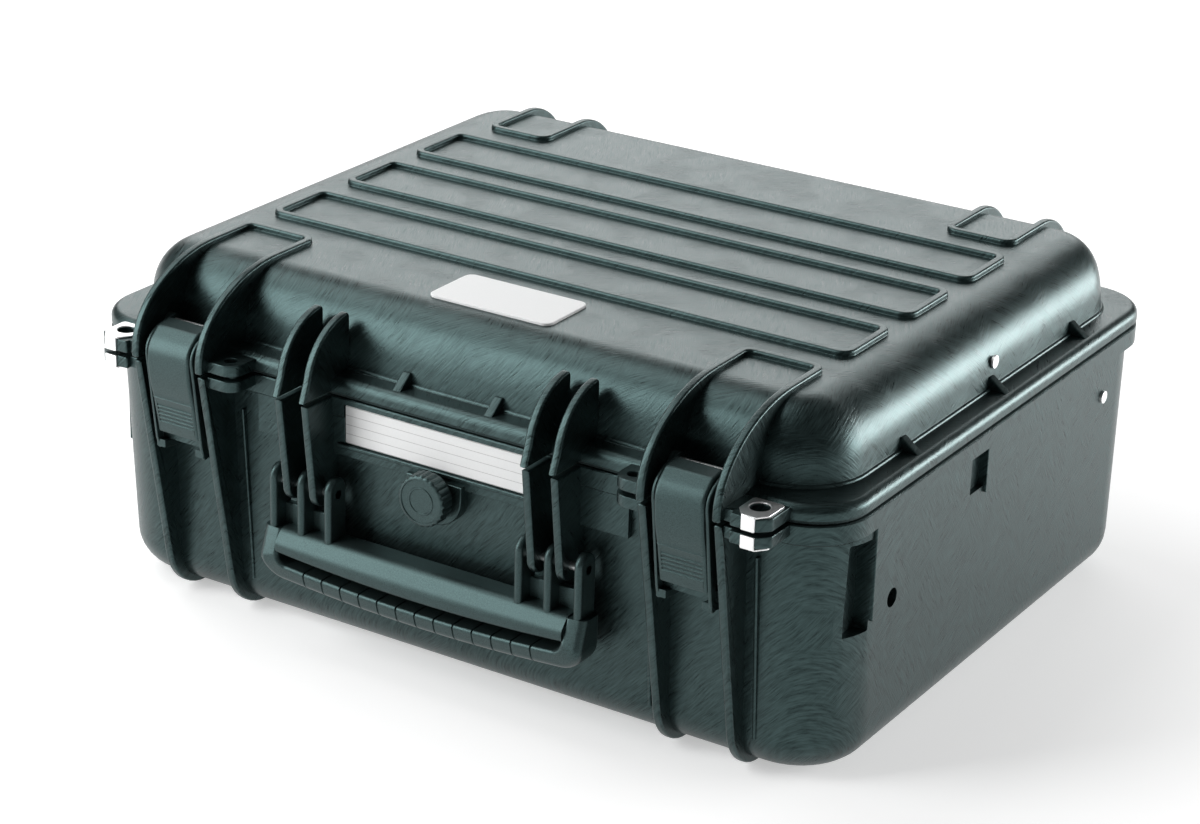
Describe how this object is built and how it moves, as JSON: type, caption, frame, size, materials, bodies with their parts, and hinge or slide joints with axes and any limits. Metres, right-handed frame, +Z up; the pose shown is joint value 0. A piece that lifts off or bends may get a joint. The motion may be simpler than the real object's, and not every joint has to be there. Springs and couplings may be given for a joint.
{
  "type": "tool case",
  "caption": "Black moulded waterproof tool case with ribbed hinged lid, latches, swinging handle, air valve, padlock eyes and lid stays.",
  "frame": {"origin": "centre of the footprint at the plane that the case stands on", "axes": "+X to the right seen from the latches, +Y to the hinges, +Z up"},
  "size_m": [0.474, 0.415, 0.2015],
  "materials": {
    "case_plastic": "satin black polypropylene with a fine brushed grain",
    "latch_plastic": "satin dark grey moulded plastic",
    "grip_rubber": "soft matt over-mould",
    "seal_rubber": "black foam rubber",
    "bright_steel": "bright stainless sheet",
    "pin_steel": "plain ground steel",
    "card_white": "white card with thin grey rules",
    "badge_white": "white plate, bare"
  },
  "bodies": {
    "base": {"base_shell": "case_plastic", "side_fittings": "case_plastic", "base_latch_ribs": "case_plastic", "base_handle_ribs": "case_plastic", "base_lugs": "case_plastic", "latch_catches": "case_plastic", "hinge_brackets": "case_plastic", "name_card": "card_white", "air_valve_body": "latch_plastic", "air_valve_nut": "latch_plastic", "air_valve_seal": "seal_rubber", "stay_rivets_base": "bright_steel", "hinge_pin_left": "pin_steel", "hinge_pin_right": "pin_steel", "handle_pin_left": "pin_steel", "handle_pin_right": "pin_steel", "padlock_plate_base_left": "bright_steel", "padlock_plate_base_right": "bright_steel"},
    "lid": {"lid_shell": "case_plastic", "lid_rim": "case_plastic", "lid_latch_ribs": "case_plastic", "lid_hinge_ribs": "case_plastic", "lid_handle_ribs": "case_plastic", "lid_lugs": "case_plastic", "lid_gussets": "case_plastic", "lid_seal": "seal_rubber", "badge_plate": "badge_white", "stay_rivets_lid": "bright_steel", "padlock_plate_lid_left": "bright_steel", "padlock_plate_lid_right": "bright_steel", "latch_pin_left": "pin_steel", "latch_pin_right": "pin_steel"},
    "handle": {"handle_frame": "latch_plastic", "handle_grip": "grip_rubber"},
    "valve_knob": {"air_valve_knob": "latch_plastic"},
    "latch_arm_left": {"latch_link_left": "latch_plastic", "link_pin_left": "pin_steel"},
    "latch_lever_left": {"latch_lever_left": "latch_plastic"},
    "stay_lower_left": {"stay_lower_left": "pin_steel", "stay_elbow_rivet_left": "pin_steel"},
    "stay_upper_left": {"stay_upper_left": "pin_steel"},
    "latch_arm_right": {"latch_link_right": "latch_plastic", "link_pin_right": "pin_steel"},
    "latch_lever_right": {"latch_lever_right": "latch_plastic"},
    "stay_lower_right": {"stay_lower_right": "pin_steel", "stay_elbow_rivet_right": "pin_steel"},
    "stay_upper_right": {"stay_upper_right": "pin_steel"}
  },
  "joints": [
    {"name": "lid_hinge", "type": "hinge", "parent": "base", "child": "lid", "pos_m": [0, 0.2025, 0.1515], "axis": [-1, 0, 0], "range_deg": [0, 95]},
    {"name": "handle_swing", "type": "hinge", "parent": "base", "child": "handle", "pos_m": [0, -0.19, 0.097], "axis": [-1, 0, 0], "range_deg": [0, 95]},
    {"name": "valve_turn", "type": "hinge", "parent": "base", "child": "valve_knob", "pos_m": [0, -0.1975, 0.1111], "axis": [0, -1, 0], "range_deg": [0, 90]},
    {"name": "latch_arm_left", "type": "hinge", "parent": "lid", "child": "latch_arm_left", "pos_m": [-0.1605, -0.1813, 0.1662], "axis": [-1, 0, 0], "range_deg": [0, 70]},
    {"name": "latch_lever_left", "type": "hinge", "parent": "latch_arm_left", "child": "latch_lever_left", "pos_m": [-0.1605, -0.1925, 0.158], "axis": [-1, 0, 0], "range_deg": [0, 21]},
    {"name": "stay_lower_left", "type": "hinge", "parent": "base", "child": "stay_lower_left", "pos_m": [-0.2147, 0.1311, 0.1183], "axis": [-1, 0, 0], "range_deg": [0, 95]},
    {"name": "stay_upper_left", "type": "hinge", "parent": "stay_lower_left", "child": "stay_upper_left", "pos_m": [-0.2126, -0.0589, 0.1413], "axis": [1, 0, 0], "range_deg": [0, 95]},
    {"name": "latch_arm_right", "type": "hinge", "parent": "lid", "child": "latch_arm_right", "pos_m": [0.1605, -0.1813, 0.1662], "axis": [-1, 0, 0], "range_deg": [0, 70]},
    {"name": "latch_lever_right", "type": "hinge", "parent": "latch_arm_right", "child": "latch_lever_right", "pos_m": [0.1605, -0.1925, 0.158], "axis": [-1, 0, 0], "range_deg": [0, 21]},
    {"name": "stay_lower_right", "type": "hinge", "parent": "base", "child": "stay_lower_right", "pos_m": [0.2147, 0.1311, 0.1183], "axis": [-1, 0, 0], "range_deg": [0, 95]},
    {"name": "stay_upper_right", "type": "hinge", "parent": "stay_lower_right", "child": "stay_upper_right", "pos_m": [0.2126, -0.0589, 0.1413], "axis": [1, 0, 0], "range_deg": [0, 95]}
  ],
  "couplings": [
    {"joint": "latch_lever_left", "follows": "latch_arm_left", "ratio": 0.3},
    {"joint": "stay_lower_left", "follows": "lid_hinge", "ratio": 1},
    {"joint": "stay_upper_left", "follows": "lid_hinge", "ratio": 1},
    {"joint": "latch_lever_right", "follows": "latch_arm_right", "ratio": 0.3},
    {"joint": "stay_lower_right", "follows": "lid_hinge", "ratio": 1},
    {"joint": "stay_upper_right", "follows": "lid_hinge", "ratio": 1}
  ]
}
